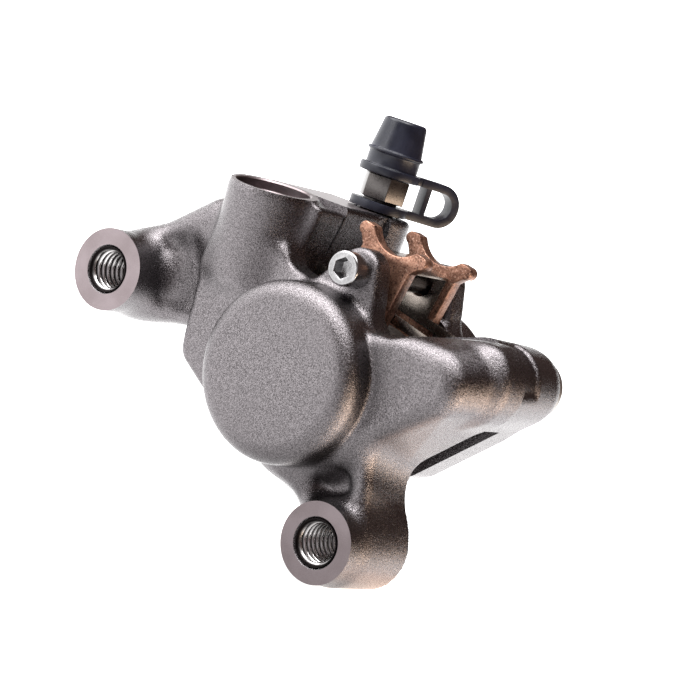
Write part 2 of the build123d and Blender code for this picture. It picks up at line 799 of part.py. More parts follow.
# Rubber cap over the nipple
flange_foot = stem_foot + cap_flange_lift
neck_foot = flange_foot + cap_flange_height
bead_foot = neck_foot + cap_neck_height
cone_foot = bead_foot + cap_bead_height
cap_top = cone_foot + cap_cone_height
with BuildPart() as bleed_cap:
    with BuildSketch(deck_plane(nipple_across, nipple_depth, flange_foot)):
        Circle(cap_flange_r)
        with Locations(Location((0, 0), strap_turn)):
            Rectangle(cap_flange_r + strap_tab, strap_width, align=(Align.MIN, Align.CENTER))
    extrude(amount=cap_flange_height)
    with BuildSketch(deck_plane(nipple_across, nipple_depth, neck_foot)):
        Circle(cap_neck_r)
    extrude(amount=cap_neck_height)
    with BuildSketch(deck_plane(nipple_across, nipple_depth, bead_foot)):
        Circle(cap_bead_r)
    extrude(amount=cap_bead_height)
    with BuildSketch(deck_plane(nipple_across, nipple_depth, cone_foot)):
        Circle(cap_foot_r)
    with BuildSketch(deck_plane(nipple_across, nipple_depth, cap_top)):
        Circle(cap_top_r)
    loft()
    cap_axis = Axis(origin=(0, 0, 0), direction=deck_plane(0, 0, 0).z_dir)
    fillet(bleed_cap.edges().sort_by(cap_axis)[-1], cap_top_edge)
    with BuildSketch(deck_plane(nipple_across, nipple_depth, flange_foot)):
        Circle(nipple_barb_r + cap_bore_clearance)
    extrude(amount=stem_top + cap_bore_clearance - flange_foot, mode=Mode.SUBTRACT)

# Strap that keeps the cap on the nipple: a ring under the hexagon and a loop up to the cap
ring_foot = rear_deck_reach + strap_lift
ring_middle = ring_foot + strap_thickness / 2
flange_middle = flange_foot + cap_flange_height / 2
strap_start = cap_flange_r + strap_tab


def strap_plane():
    """Plane that holds the strap's side view: outward from the nipple, and along its axis."""
    x, z = from_deck(nipple_across, 0)
    lean = radians(deck_lean)
    turn = radians(strap_turn)
    out = (cos(turn) * cos(lean), sin(turn), cos(turn) * sin(lean))
    across = (sin(turn) * cos(lean), -cos(turn), sin(turn) * sin(lean))
    return Plane(origin=(x, nipple_depth, z), x_dir=out, z_dir=across)


loop_r = (flange_middle - ring_middle) / 2
with BuildPart() as cap_strap:
    with BuildSketch(strap_plane()):
        # Round end of the loop, then its two straight runs and the thin bar across it
        with Locations((loop_reach, ring_middle + loop_r)):
            Circle(loop_r + strap_thickness / 2)
            Circle(loop_r - strap_thickness / 2, mode=Mode.SUBTRACT)
        with Locations((loop_reach, ring_middle + loop_r)):
            Rectangle(overrun, overrun, align=(Align.MAX, Align.CENTER), mode=Mode.SUBTRACT)
        with Locations((strap_start, flange_middle)):
            Rectangle(loop_reach - strap_start, strap_thickness, align=(Align.MIN, Align.CENTER))
        with Locations((nipple_neck_r, ring_middle)):
            Rectangle(loop_reach - nipple_neck_r, strap_thickness, align=(Align.MIN, Align.CENTER))
        with Locations((loop_bar_reach, ring_middle + loop_r)):
            Rectangle(loop_bar, 2 * loop_r)
    extrude(amount=strap_width / 2, both=True)
    with BuildSketch(deck_plane(nipple_across, nipple_depth, ring_foot)):
        Circle(strap_ring_r)
    extrude(amount=strap_thickness)
    with BuildSketch(deck_plane(nipple_across, nipple_depth, ring_foot)):
        Circle(nipple_neck_r + strap_fit)
    extrude(amount=strap_thickness, mode=Mode.SUBTRACT)

pieces = {
    "front_half": front_half.part,
    "rear_half": rear_half.part,
    "nose_bolt": nose_bolt,
    "bridge_bolt": bridge_bolt,
    "crossover_seal": crossover_seal.part,
    "front_piston": front_piston,
    "rear_piston": rear_piston,
    "front_piston_seal": front_piston_seal,
    "rear_piston_seal": rear_piston_seal,
    "front_pad_plate": front_pad_plate,
    "front_pad_lining": front_pad_lining,
    "rear_pad_plate": rear_pad_plate,
    "rear_pad_lining": rear_pad_lining,
    "pad_spring": pad_spring.part,
    "pad_pin": pad_pin.part,
    "bleed_nipple": bleed_nipple.part,
    "bleed_cap": bleed_cap.part,
    "cap_strap": cap_strap.part,
    **inserts,
}

os.makedirs("parts", exist_ok=True)
for name, piece in pieces.items():
    piece.label = name
    export_step(piece, f"parts/{name}.step")
    print(name, round(piece.volume, 2), "mm3")
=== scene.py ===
import math

import bmesh
import bpy
import numpy as np
from mathutils import Matrix, Vector


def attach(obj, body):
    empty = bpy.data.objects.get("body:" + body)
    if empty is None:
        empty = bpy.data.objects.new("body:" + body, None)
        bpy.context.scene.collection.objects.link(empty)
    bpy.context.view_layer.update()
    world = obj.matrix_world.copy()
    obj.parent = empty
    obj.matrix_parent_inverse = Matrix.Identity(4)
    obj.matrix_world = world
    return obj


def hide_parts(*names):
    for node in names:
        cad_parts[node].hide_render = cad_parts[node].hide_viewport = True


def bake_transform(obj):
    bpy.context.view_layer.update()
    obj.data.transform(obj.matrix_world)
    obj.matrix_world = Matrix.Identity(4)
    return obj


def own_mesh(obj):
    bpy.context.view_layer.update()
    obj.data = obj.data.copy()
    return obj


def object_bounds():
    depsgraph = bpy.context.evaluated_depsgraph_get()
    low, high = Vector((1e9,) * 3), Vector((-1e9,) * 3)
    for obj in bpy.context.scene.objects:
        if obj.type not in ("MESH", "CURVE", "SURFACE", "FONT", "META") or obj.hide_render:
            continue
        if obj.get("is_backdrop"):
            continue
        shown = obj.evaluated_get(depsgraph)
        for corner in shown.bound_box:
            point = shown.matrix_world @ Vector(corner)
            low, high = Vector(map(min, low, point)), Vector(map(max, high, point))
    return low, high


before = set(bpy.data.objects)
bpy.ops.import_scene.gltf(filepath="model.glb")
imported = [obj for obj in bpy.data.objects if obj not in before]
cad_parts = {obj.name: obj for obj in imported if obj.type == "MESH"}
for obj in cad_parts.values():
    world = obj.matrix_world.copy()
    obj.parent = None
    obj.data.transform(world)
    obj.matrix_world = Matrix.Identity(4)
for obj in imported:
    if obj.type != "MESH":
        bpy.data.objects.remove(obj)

cad_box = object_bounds()
MM = 0.001
cell = 0.28
wire_sides = 64
outline_turns = 72

# Sizes of the caliper, in millimetres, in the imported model's frame
upright = (0.0, 1.0, 0.0)
lug_one_x, lug_two_x, lug_start = -25.5, 25.5, -1.5
lug_one_r, lug_one_length = 5.75, 16.0
lug_two_r, lug_two_root_r, lug_two_length = 5.35, 6.05, 13.9
cap_front, wall_front, arm_front, deck_front, split = -4.0, 3.3, 5.8, 6.4, 12.8
web_front, overlap, split_spare = 3.0, 6.0, 0.25
rotor_depth, slot_width, rotor_groove_r, rotor_drop = 15.3, 5.0, 81.0, 72.5
piston = (6.3, 11.7)
piston_axis = (piston[0], 0.0, piston[1])
bore_r, cap_r, body_r, cap_edge = 10.5, 12.1, 13.2, 2.7
pocket_floor, bore_floor, pocket_rise = 7.65, -1.5, 40.0
seal_near, seal_far, seal_r = 4.3, 6.4, 11.85
window_half, wall_reach, window_corner = 11.1, 11.2, 2.4
pad_lean, deck_lean = math.radians(14.5), math.radians(25.5)
deck_reach, rear_deck_reach, deck_spare = 28.9, 29.8, 4.0
slope_start, slope_overrun, slope_lean = 7.9, 3.0, math.radians(29.2)
port_across, port_depth, port_reach, port_tip = -4.8, 6.0, 29.4, math.radians(5.5)
port_boss_r, port_boss_length = 6.1, 15.0
port_bore_r, port_bore_length, spot_r, spot_depth = 4.0, 9.0, 5.2, 1.3
nipple_across, nipple_depth, nipple_boss_r, nipple_boss_length = -0.2, 25.3, 4.9, 15.0
seat_r, seat_length = 3.0, 7.5
deck_left, deck_right, deck_height = -10.9, 3.8, 17.0
pin_reach, pin_hole_r, tab_r, tab_back = 15.7, 1.55, 3.15, 7.2
nose, nose_r, nose_end_r, nose_end = (22.2, 27.1), 5.75, 5.1, 25.0
heel = (18.4, 10.6, 3.6)
bolt_hole_r, head_hole_r, head_seat, bridge_r = 2.65, 4.4, 22.7, 4.4
screw_hole_r, nose_hole_floor, bridge_hole_floor = 2.5, 5.4, 7.8
bar_front, bar_rear = 1.2, 24.8
notch_end, notch_floor_r, notch_across, notch_turn = 17.3, 5.3, 4.0, math.radians(72)
nose_boss_front, web_pocket_floor, arm_pocket_depth = 8.4, 5.2, 0.9
insert_r, insert_length, insert_gap = 3.2, 11.0, 0.01
thread_pitch, thread_crest_r, thread_root_r, rings_per_mm = 1.0, 2.5, 3.03, 12
mouth_lip, mouth_taper = 0.06, 0.75


def far(depth):
    """The same depth on the far side of the rotor."""
    return 2 * rotor_depth - depth


def from_pads(sideways, outward):
    """Place in X and Z, counted from the pistons along the pads' lean."""
    return (
        piston[0] + sideways * math.cos(pad_lean) - outward * math.sin(pad_lean),
        piston[1] + sideways * math.sin(pad_lean) + outward * math.cos(pad_lean),
    )


def from_deck(across, reach):
    """Place in X and Z, counted from the origin along the deck's lean."""
    return (
        across * math.cos(deck_lean) - reach * math.sin(deck_lean),
        across * math.sin(deck_lean) + reach * math.cos(deck_lean),
    )


deck_axis = (-math.sin(deck_lean), 0.0, math.cos(deck_lean))
deck_side = (math.cos(deck_lean), 0.0, math.sin(deck_lean))
port_axis = (
    deck_axis[0] * math.cos(port_tip),
    -math.sin(port_tip),
    deck_axis[2] * math.cos(port_tip),
)
bridge = from_deck(-12.2, 21.3)
foot = from_deck(-6.6, 5.6)
shoulder = from_deck(-4.6, 17.0)
pin_place = from_pads(0, pin_reach)
rotor_centre = from_pads(0, -rotor_drop)
port_x, port_z = from_deck(port_across, port_reach)
port_rim = (port_x, port_depth, port_z)
nipple_x, nipple_z = from_deck(nipple_across, 0)
nipple_foot = (nipple_x, nipple_depth, nipple_z)

# Discs that the forged outlines are stretched round: X, Z and radius
wall_discs = [(*piston, body_r), (*foot, 3.2), (*shoulder, 6.2)]
nose_discs = [(*piston, body_r), (*nose, nose_r), heel]
bar_discs = [(*piston, 10.5), (21.0, 24.6, 4.6), (14.5, 7.5, 3.0)]
rear_bar_discs = [(*piston, body_r), (*nose, nose_end_r), heel]
arm_discs = [(lug_one_x, 0, 5.3), (*bridge, bridge_r), (-12.5, 9.0, 5.7)]
arm_pocket = [(-24.9, 4.6, 1.5), (-20.8, 8.8, 1.5), (-15.0, 5.4, 1.5), (-19.4, 1.3, 1.5)]
web_discs = [(lug_two_x, 0, 4.85), (12.4, 6.6, 6.0), (18.4, 10.6, 3.1)]
web_root_discs = [(lug_two_x, 0, lug_two_r), (10.0, 1.8, 6.5), (18.4, 10.6, 3.1)]
web_pocket = [(12.4, 6.6, 3.6), (18.4, 10.6, 0.7), (lug_two_x - lug_two_r, lug_two_r, 2.4)]
scoop, scoop_root, heel_scoop = [(15.6, -8.6, 9.4)], [(13.6, -14.0, 9.4)], [(30.4, 12.4, 5.9)]
tab_discs = [(*pin_place, tab_r), (*from_pads(0, 9.0), 5.8)]


# Shapes as distances, so that forged forms can flow into each other
class Block:
    """Grid of points that a forging is worked out on."""

    def __init__(self, low, high):
        self.low = np.array(low, float)
        steps = [np.arange(a, b, cell, dtype=np.float32) for a, b in zip(low, high)]
        self.x = steps[0][:, None, None]
        self.y = steps[1][None, :, None]
        self.z = steps[2][None, None, :]

    def from_pads(self):
        """Distances across and out from the pistons, along the pads' lean."""
        side, up = math.cos(pad_lean), math.sin(pad_lean)
        px, pz = self.x - piston[0], self.z - piston[1]
        return px * side + pz * up, pz * side - px * up

    def along(self, direction):
        """Distance from the origin along a direction in X and Z."""
        return self.x * direction[0] + self.z * direction[2]


def rounded(flat, deep, edge):
    """Joins a distance across a form and one along it, with a rounded edge between."""
    flat, deep = flat + edge, deep + edge
    outside = np.sqrt(np.maximum(flat, 0) ** 2 + np.maximum(deep, 0) ** 2)
    return np.minimum(np.maximum(flat, deep), 0) + outside - edge


def between(value, low, high):
    """How far a value is past the nearer of two limits, below zero between them."""
    return np.abs(value - (low + high) / 2) - (high - low) / 2


def hull(block, discs, last=None, near=0.0, end=1.0):
    """Distance to an outline stretched round discs, which may change from near to end."""
    share = 0.0 if last is None else np.clip((block.y - near) / (end - near), 0, 1)
    last = last or discs
    result = None
    for turn in range(outline_turns):
        angle = 2 * math.pi * turn / outline_turns
        across, up = math.cos(angle), math.sin(angle)
        reach = None
        for (x, z, r), (x2, z2, r2) in zip(discs, last):
            change = (x2 - x) * across + (z2 - z) * up + r2 - r
            here = (x * across + z * up + r) + change * share
            reach = here if reach is None else np.maximum(reach, here)
        side = block.x * np.float32(across) + block.z * np.float32(up) - np.float32(1) * reach
        result = side if result is None else np.maximum(result, side)
    return result


def slab(block, near, end, discs, edge, last=None, last_depth=1.0):
    """Forged slab with a hull outline between two depths."""
    flat = hull(block, discs, last, near, last_depth)
    return rounded(flat, between(block.y, near, end), edge)


def rod(block, start, along, near, end, radius, edge, end_radius=None):
    """Round bar between two distances along a line, which may taper."""
    px, py, pz = block.x - start[0], block.y - start[1], block.z - start[2]
    run = px * along[0] + py * along[1] + pz * along[2]
    radial = np.sqrt(np.maximum(px * px + py * py + pz * pz - run * run, 0))
    if end_radius is not None:
        radius = radius + (end_radius - radius) * np.clip((run - near) / (end - near), 0, 1)
    return rounded(radial - radius, between(run, near, end), edge)


def deck_block(block, near, end, top, edge):
    """Box under the deck, which leans with it."""
    across = between(block.along(deck_side), deck_left, deck_right)
    reach = between(block.along(deck_axis), top - deck_height, top + deck_spare)
    return rounded(rounded(across, reach, edge), between(block.y, near, end), edge)


def window(block):
    """The opening over the pads, which leans with them."""
    across, out = block.from_pads()
    return rounded(np.abs(across) - window_half, wall_reach - out, window_corner)


def slope(block):
    """Space above the slope that runs from the window's floor to the nose."""
    across, out = block.from_pads()
    across, out = across - slope_start, out - wall_reach
    along = across * math.cos(slope_lean) + out * math.sin(slope_lean)
    above = out * math.cos(slope_lean) - across * math.sin(slope_lean)
    return np.maximum(-along - slope_overrun, -above)


def notch(block):
    """Step in the top of the nose behind the split."""
    px, pz = block.x - nose[0], block.z - nose[1]
    ring = notch_floor_r - np.sqrt(px * px + pz * pz)
    side = notch_across - (px * math.cos(notch_turn) + pz * math.sin(notch_turn))
    return np.maximum(np.maximum(ring, side), between(block.y, split, notch_end))


def join(a, b, soft):
    """Union with a fillet of about the given size."""
    mix = np.maximum(soft - np.abs(a - b), 0) / soft
    return np.minimum(a, b) - mix * mix * (soft / 4)


def cut(a, b, soft):
    """Takes b out of a, with the new edges rounded."""
    return -join(-a, b, soft)


def level_deck(body, block, top, soft):
    """Cuts a body off level with the deck, on the side of the upper lug."""
    above = block.along(deck_axis) - top
    return cut(body, np.where(block.x < 0, -above, 1.0) + 0 * block.y, soft)


def skin(field, block):
    """Closed mesh round the part of a block where the distance is below zero."""
    cells = np.array(field.shape) - 1
    stride = np.array((cells[1] * cells[2], cells[2], 1))
    total = int(np.prod(cells))
    count = np.zeros(total)
    place = np.zeros((3, total))
    quads = []
    for axis in range(3):
        first, second = [slice(None)] * 3, [slice(None)] * 3
        first[axis], second[axis] = slice(0, -1), slice(1, None)
        here, there = field[tuple(first)], field[tuple(second)]
        start = np.argwhere((here < 0) != (there < 0))
        value, other = here[tuple(start.T)].astype(float), there[tuple(start.T)].astype(float)
        point = start.astype(float)
        point[:, axis] += value / (value - other)
        b, c = (axis + 1) % 3, (axis + 2) % 3
        around = []
        for step_b, step_c in ((0, 0), (-1, 0), (-1, -1), (0, -1)):
            corner = start.copy()
            corner[:, b] += step_b
            corner[:, c] += step_c
            flat = corner @ stride
            count += np.bincount(flat, minlength=total)
            for k in range(3):
                place[k] += np.bincount(flat, weights=point[:, k], minlength=total)
            around.append(flat)
        quad = np.stack(around, axis=1)
        inward = value >= 0
        quad[inward] = quad[inward][:, ::-1]
        quads.append(quad)
    quads = np.concatenate(quads)
    pinched = pinched_cells(quads)
    if len(pinched):
        # Fill the few cells where the form touches itself along one edge, and start again
        corner = np.stack(np.unravel_index(pinched, tuple(cells)))
        for step in np.ndindex(2, 2, 2):
            field[tuple(corner + np.array(step)[:, None])] = -cell / 2
        return skin(field, block)
    used, faces = np.unique(quads, return_inverse=True)
    points = (place[:, used] / count[used]).T * cell + block.low
    return points * MM, faces.reshape(-1, 4)


def pinched_cells(quads):
    """Cells whose faces share an edge more than twice."""
    size = int(quads.max()) + 1
    ends = np.concatenate([quads[:, [k, (k + 1) % 4]] for k in range(4)])
    ends.sort(axis=1)
    edges, times = np.unique(ends[:, 0].astype(np.int64) * size + ends[:, 1], return_counts=True)
    bad = edges[times != 2]
    return np.unique(np.concatenate([bad // size, bad % size]))


# Meshes
def new_object(name, points, faces):
    mesh = bpy.data.meshes.new(name)
    mesh.from_pydata([tuple(p) for p in points], [], [tuple(f) for f in faces])
    mesh.update()
    piece = bpy.data.objects.new(name, mesh)
    bpy.context.scene.collection.objects.link(piece)
    return piece


def skin_object(name, field, block):
    points, faces = skin(field.astype(np.float32), block)
    return new_object(name, points, faces.tolist())


def apply_modifiers(piece):
    """Keeps what a piece's modifiers make as its own mesh."""
    graph = bpy.context.evaluated_depsgraph_get()
    made = bpy.data.meshes.new_from_object(piece.evaluated_get(graph))
    piece.modifiers.clear()
    piece.data = made


def axes_of(along):
    """Two directions square to a third, and that one, as columns of a matrix."""
    along = Vector(along).normalized()
    side = Vector((0, 1, 0)) if abs(along.y) < 0.9 else Vector((1, 0, 0))
    side = (side - along * side.dot(along)).normalized()
    return Matrix((side, along.cross(side), along)).transposed()


def turned(name, start, along, profile, segments=96):
    """Closed turned form: pairs of radius and distance along a line, in millimetres."""
    basis = axes_of(along)
    start = Vector(start)
    points, faces, rings = [], [], []
    for r, run in profile:
        ring = []
        for k in range(segments if r else 1):
            angle = 2 * math.pi * k / segments
            ring.append(len(points))
            offset = basis @ Vector((r * math.cos(angle), r * math.sin(angle), run))
            points.append((start + offset) * MM)
        rings.append(ring)
    for a, b in zip(rings, rings[1:]):
        for k in range(segments):
            n = (k + 1) % segments
            if len(a) == 1:
                faces.append((a[0], b[n], b[k]))
            elif len(b) == 1:
                faces.append((a[k], a[n], b[0]))
            else:
                faces.append((a[k], a[n], b[n], b[k]))
    return new_object(name, points, faces)


def prism(name, outline, near, end):
    """Straight form with an outline in X and Z, between two depths, in millimetres."""
    count = len(outline)
    points = [(x * MM, y * MM, z * MM) for y in (near, end) for x, z in outline]
    faces = [tuple(range(count)), tuple(reversed(range(count, 2 * count)))]
    faces += [(k, k + count, (k + 1) % count + count, (k + 1) % count) for k in range(count)]
    piece = new_object(name, points, faces)
    square_up(piece)
    return piece


def square_up(piece):
    """Turns every face outward."""
    made = bmesh.new()
    made.from_mesh(piece.data)
    bmesh.ops.recalc_face_normals(made, faces=made.faces)
    made.to_mesh(piece.data)
    made.free()


def carve(piece, tools):
    """Machines a forging with crisp cutters, one after another."""
    for tool in tools:
        square_up(tool)
        modifier = piece.modifiers.new("cut", "BOOLEAN")
        modifier.operation, modifier.solver, modifier.object = "DIFFERENCE", "MANIFOLD", tool
        apply_modifiers(piece)
        bpy.data.objects.remove(tool)


def smooth(piece, degrees):
    """Shades a piece smooth, apart from edges sharper than an angle."""
    piece.data.shade_smooth()
    piece.data.set_sharp_from_angle(angle=math.radians(degrees))


def pad_pocket(near, end):
    """Cutter for the pocket that the pads slide in, round below and open above."""
    lean = math.degrees(pad_lean)
    outline = [
        (piston[0] + window_half * math.cos(angle), piston[1] + window_half * math.sin(angle))
        for angle in np.radians(np.linspace(180 + lean, 360 + lean, 64))
    ]
    outline += [from_pads(window_half, pocket_rise), from_pads(-window_half, pocket_rise)]
    return prism("pad_pocket", outline, near, end)


def drill(name, place, radius, near, end, chamfer=0.0, mouth=None):
    """Cutter for a round hole along the depth, with a chamfer where it opens."""
    wide = radius + chamfer
    if mouth is None:
        sides = [(radius, near), (radius, end)]
    elif mouth < (near + end) / 2:
        sides = [(wide, near), (wide, mouth), (radius, mouth + chamfer), (radius, end)]
    else:
        sides = [(radius, near), (radius, mouth - chamfer), (wide, mouth), (wide, end)]
    profile = [(0, near), *sides, (0, end)]
    return turned(name, (place[0], 0, place[1]), upright, profile)


def box_cutter(name, low, high):
    outline = [(low[0], low[2]), (high[0], low[2]), (high[0], high[2]), (low[0], high[2])]
    return prism(name, outline, low[1], high[1])


def forge_front():
    """Front half before machining."""
    block = Block((-34, -5.5, -8.5), (34, 15.8, 34))
    beyond, nose_start = split + overlap, (nose[0], 0, nose[1])
    past_split = block.y - (split + split_spare)
    wall = slab(block, wall_front, beyond, wall_discs, edge=1.2)
    bar = slab(block, bar_front, beyond, bar_discs, edge=2.2, last=nose_discs, last_depth=split)
    body = join(wall, bar, soft=3.0)
    deck = deck_block(block, deck_front, beyond, deck_reach, edge=0.8)
    body = join(body, deck, soft=1.2)
    arm = slab(block, arm_front, beyond, arm_discs, edge=3.0)
    hollow = slab(block, 0, arm_front + arm_pocket_depth, arm_pocket, edge=1.6)
    body = join(body, cut(arm, hollow, soft=2.8), soft=2.2)
    web = slab(block, web_front, beyond, web_discs, edge=1.6, last=web_root_discs, last_depth=split)
    web = cut(web, hull(block, scoop, scoop_root, web_front, split), soft=1.2)
    web = cut(web, hull(block, heel_scoop), soft=1.2)
    web = cut(web, slab(block, 0, web_pocket_floor, web_pocket, edge=1.4), soft=2.4)
    body = np.maximum(join(body, web, soft=3.2), past_split)
    lug_one = rod(block, (lug_one_x, 0, 0), upright, lug_start, lug_one_length, lug_one_r, edge=0.3)
    body = np.maximum(join(body, lug_one, soft=3.6), past_split)
    lug_two = rod(
        block, (lug_two_x, 0, 0), upright, lug_start, lug_two_length, lug_two_r,
        edge=0.9, end_radius=lug_two_root_r,
    )
    body = join(body, lug_two, soft=2.2)
    body = level_deck(body, block, deck_reach, soft=0.8)
    boss = rod(block, port_rim, port_axis, -port_boss_length, 2.0, port_boss_r, edge=3.0)
    body = join(body, boss, soft=2.2)
    nose_boss = rod(block, nose_start, upright, nose_boss_front, beyond, nose_r, edge=1.4)
    body = np.maximum(join(body, nose_boss, soft=1.6), past_split)
    body = cut(body, slope(block), soft=2.4)
    body = cut(body, window(block), soft=1.0)
    cap = rod(block, piston_axis, upright, cap_front, split, cap_r, edge=cap_edge)
    body = join(body, cap, soft=0.7)
    body = join(body, slab(block, wall_front, tab_back, tab_discs, edge=0.9), soft=1.4)
    return skin_object("front_body", body, block)


def forge_rear():
    """Rear half before machining."""
    block = Block((-28, 11.6, -4.5), (30, 36.2, 35))
    before, nose_start = split - overlap, (nose[0], 0, nose[1])
    wall = slab(block, before, far(wall_front), wall_discs, edge=1.2)
    flat = hull(block, nose_discs, rear_bar_discs, split, bar_rear)
    body = join(wall, rounded(flat, between(block.y, before, bar_rear), edge=2.0), soft=2.4)
    deck_far = nipple_depth + nipple_boss_r - 1.6
    deck = deck_block(block, before, deck_far, rear_deck_reach, edge=1.2)
    body = join(body, deck, soft=1.6)
    bridge_start = (bridge[0], 0, bridge[1])
    bridge_boss = rod(block, bridge_start, upright, before, nose_end, bridge_r, edge=0.8)
    body = join(body, bridge_boss, soft=2.2)
    body = cut(body, np.minimum(slope(block), window(block)), soft=1.0)
    nose_boss = rod(
        block, nose_start, upright, before, nose_end, nose_r, edge=0.8, end_radius=nose_end_r,
    )
    body = join(body, nose_boss, soft=1.0)
    body = cut(body, notch(block), soft=0.7)
    low, high = rear_deck_reach - nipple_boss_length, rear_deck_reach + deck_spare
    nipple_boss = rod(block, nipple_foot, deck_axis, low, high, nipple_boss_r, edge=3.0)
    body = join(body, nipple_boss, soft=1.8)
    cap = rod(block, piston_axis, upright, split, far(cap_front), cap_r, edge=cap_edge)
    body = join(body, cap, soft=1.8)
    tab = slab(block, far(tab_back), far(wall_front), tab_discs, edge=0.9)
    body = join(body, tab, soft=1.4)
    body = level_deck(body, block, rear_deck_reach, soft=1.0)
    body = np.maximum(body, (split - split_spare) - block.y)
    return skin_object("rear_body", body, block)


def front_half():
    """Front forging with the lugs' faces, the split, the port and its holes machined."""
    piece = forge_front()
    port = [
        (0, -port_bore_length),
        (port_bore_r - 0.6, -port_bore_length),
        (port_bore_r, 0.5 - port_bore_length),
        (port_bore_r, -spot_depth - 0.35),
        (port_bore_r + 0.35, -spot_depth),
        (spot_r, -spot_depth),
        (spot_r, -0.2),
        (spot_r + 0.2, 0),
        (port_boss_r + 0.8, 0),
        (port_boss_r + 0.8, 4),
        (0, 4),
    ]
    tools = [
        box_cutter("lug_plane", (-40, -6, -10), (-12.5, 0, 8)),
        box_cutter("lug_two_plane", (18.8, -6, -10), (40, 0, 8)),
        box_cutter("split_high", (-40, split, 6.8), (40, 22, 45)),
        box_cutter("split_low", (-40, split, -15), (18.9, 22, 6.8)),
        turned("port", port_rim, port_axis, port),
        pad_pocket(pocket_floor, 20),
        drill("piston_bore", piston, bore_r, bore_floor, 20),
        drill("seal_groove", piston, seal_r, seal_near, seal_far),
        drill("pin_hole", pin_place, pin_hole_r, 0, 20),
        drill("nose_hole", nose, screw_hole_r, nose_hole_floor, 20),
        drill("bridge_hole", bridge, screw_hole_r, bridge_hole_floor, 20),
    ]
    for name, place in (("upper_hole", lug_one_x), ("lower_hole", lug_two_x)):
        tools.append(drill(name, (place, 0), insert_r, -4, 20, chamfer=0.25, mouth=0.0))
    carve(piece, tools)
    return piece


def rear_half():
    """Rear forging with the split, the rotor groove and its holes machined."""
    piece = forge_rear()
    seat = [
        (0, rear_deck_reach - seat_length),
        (seat_r, rear_deck_reach - seat_length),
        (seat_r, rear_deck_reach - 0.4),
        (seat_r + 0.4, rear_deck_reach),
        (nipple_boss_r - 0.4, rear_deck_reach),
        (nipple_boss_r - 0.4, rear_deck_reach + 5),
        (0, rear_deck_reach + 5),
    ]
    slot_end = split + slot_width
    disc = [(0, 5), (rotor_groove_r, 5), (rotor_groove_r, slot_end), (0, slot_end)]
    disc_start = (rotor_centre[0], 0, rotor_centre[1])
    tools = [
        box_cutter("split_plane", (-40, -5, -20), (40, split, 45)),
        turned("rotor_groove", disc_start, upright, disc, segments=360),
        pad_pocket(5, far(pocket_floor)),
        drill("piston_bore", piston, bore_r, 5, far(bore_floor)),
        drill("seal_groove", piston, seal_r, far(seal_far), far(seal_near)),
        drill("pin_hole", pin_place, pin_hole_r, 5, 40),
        turned("nipple_hole", nipple_foot, deck_axis, seat),
    ]
    for name, place in (("nose", nose), ("bridge", bridge)):
        tools.append(drill(name + "_hole", place, bolt_hole_r, 5, 30))
        counterbore = drill(
            name + "_counterbore", place, head_hole_r, head_seat, 45, chamfer=0.2, mouth=nose_end,
        )
        tools.append(counterbore)
    carve(piece, tools)
    return piece


def wound_insert(name, centre_x):
    """Sleeve of wound wire that makes an M6 thread in a lug."""
    steps = int(insert_length * rings_per_mm)
    angle = np.linspace(0, 2 * math.pi, wire_sides, endpoint=False)[None, :]
    run = np.linspace(0, insert_length, steps + 1)[:, None]
    phase = (run / thread_pitch - angle / (2 * math.pi)) % 1.0
    groove = np.clip(1.2 - 2.7 * np.abs(phase - 0.5), 0, 1)
    thread = thread_crest_r + (thread_root_r - thread_crest_r) * groove
    mouth = np.minimum(insert_r - mouth_lip - mouth_taper * run, thread_root_r)
    radius = np.maximum(thread, mouth)
    inner = [centre_x + radius * np.cos(angle), run + 0 * angle, radius * np.sin(angle)]
    inner = np.stack(inner, axis=-1).reshape(-1, 3)
    wide = insert_r - insert_gap
    rim_x, rim_z = centre_x + wide * np.cos(angle[0]), wide * np.sin(angle[0])
    outer = [np.c_[rim_x, np.full(wire_sides, y), rim_z] for y in (insert_length, 0)]
    points = np.concatenate([inner] + outer) * MM
    rings = np.arange(len(points)).reshape(-1, wire_sides)
    rings = np.concatenate([rings, rings[:1]])
    faces = []
    for a, b in zip(rings, rings[1:]):
        for k in range(wire_sides):
            n = (k + 1) % wire_sides
            faces.append((a[k], a[n], b[n], b[k]))
    piece = new_object(name + "_wire", points, np.array(faces).tolist())
    square_up(piece)
    smooth(piece, 50)
    return piece


def dressed(node, bevel):
    """Copy of a machined CAD piece, cleaned and with its edges broken."""
    piece = bpy.data.objects.new(node + "_finished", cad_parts[node].data.copy())
    bpy.context.scene.collection.objects.link(piece)
    made = bmesh.new()
    made.from_mesh(piece.data)
    bmesh.ops.remove_doubles(made, verts=made.verts, dist=1e-7)
    flat_within = math.radians(0.5)
    bmesh.ops.dissolve_limit(made, angle_limit=flat_within, verts=made.verts, edges=made.edges)
    made.to_mesh(piece.data)
    made.free()
    modifier = piece.modifiers.new("edges", "BEVEL")
    modifier.width, modifier.segments = bevel * MM, 3
    modifier.limit_method, modifier.angle_limit = "ANGLE", math.radians(30)
    modifier.harden_normals = False
    modifier.use_clamp_overlap = True
    apply_modifiers(piece)
    smooth(piece, 35)
    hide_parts(node)
    return piece


# Finishes
class Wire:
    """A shader socket that can be added to, taken from and multiplied."""

    def __init__(self, finish, socket):
        self.finish, self.socket = finish, socket

    def _math(self, operation, a, b):
        return self.finish.node("ShaderNodeMath", {"operation": operation}, [a, b])

    def __add__(self, other):
        return self._math("ADD", self, other)

    def __sub__(self, other):
        return self._math("SUBTRACT", self, other)

    def __rsub__(self, other):
        return self._math("SUBTRACT", other, self)

    def __mul__(self, other):
        return self._math("MULTIPLY", self, other)

    def __pow__(self, other):
        return self._math("POWER", self, other)

    __radd__ = __add__
    __rmul__ = __mul__


